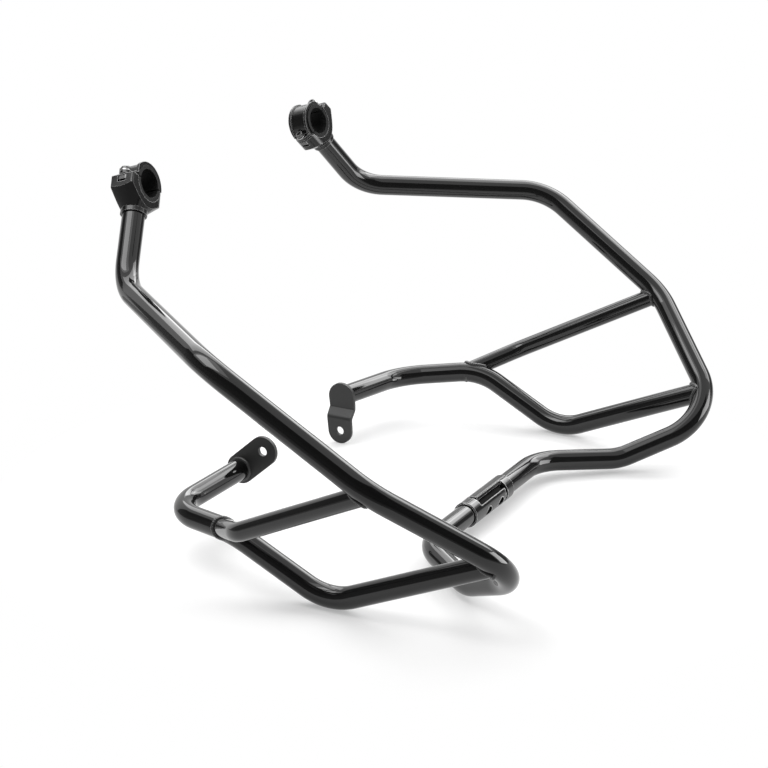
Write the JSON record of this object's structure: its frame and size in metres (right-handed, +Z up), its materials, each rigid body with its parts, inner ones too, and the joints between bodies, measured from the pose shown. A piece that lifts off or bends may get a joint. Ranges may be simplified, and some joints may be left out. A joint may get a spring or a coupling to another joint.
{
  "type": "motorcycle crash bars",
  "caption": "Bent steel tube crash bars for a motorcycle: mirrored welded halves joined by a bolted coupler, with split frame clamps at the top and drilled mount plates at the rear.",
  "frame": {"origin": "centre of the bounding box, on the floor that the bars lie on", "axes": "+X to the rider's left, +Y to the rear of the motorcycle, +Z up from the floor"},
  "size_m": [0.8264, 0.5271, 0.4216],
  "materials": {
    "gloss_black_coat": "gloss",
    "satin_black_coat": "satin",
    "black_cast_alloy": "satin",
    "clamp_rubber": "matte",
    "bolt_steel": "satin",
    "black_bolt_steel": "satin"
  },
  "bodies": {
    "root": {"main_tube_left": "gloss_black_coat", "main_tube_right": "gloss_black_coat", "lower_tube_left": "gloss_black_coat", "lower_tube_right": "gloss_black_coat", "brace_tube_left": "gloss_black_coat", "brace_tube_right": "gloss_black_coat", "mount_plate_left": "satin_black_coat", "mount_plate_right": "satin_black_coat", "clamp_base_left": "black_cast_alloy", "clamp_base_right": "black_cast_alloy", "clamp_cap_left": "black_cast_alloy", "clamp_cap_right": "black_cast_alloy", "liner_base_left": "clamp_rubber", "liner_base_right": "clamp_rubber", "liner_cap_left": "clamp_rubber", "liner_cap_right": "clamp_rubber", "clamp_bolts": "bolt_steel", "clamp_washers": "bolt_steel", "clamp_nuts": "bolt_steel", "coupler_left": "satin_black_coat", "coupler_right": "satin_black_coat", "coupler_bolts": "black_bolt_steel"}
  },
  "joints": []
}
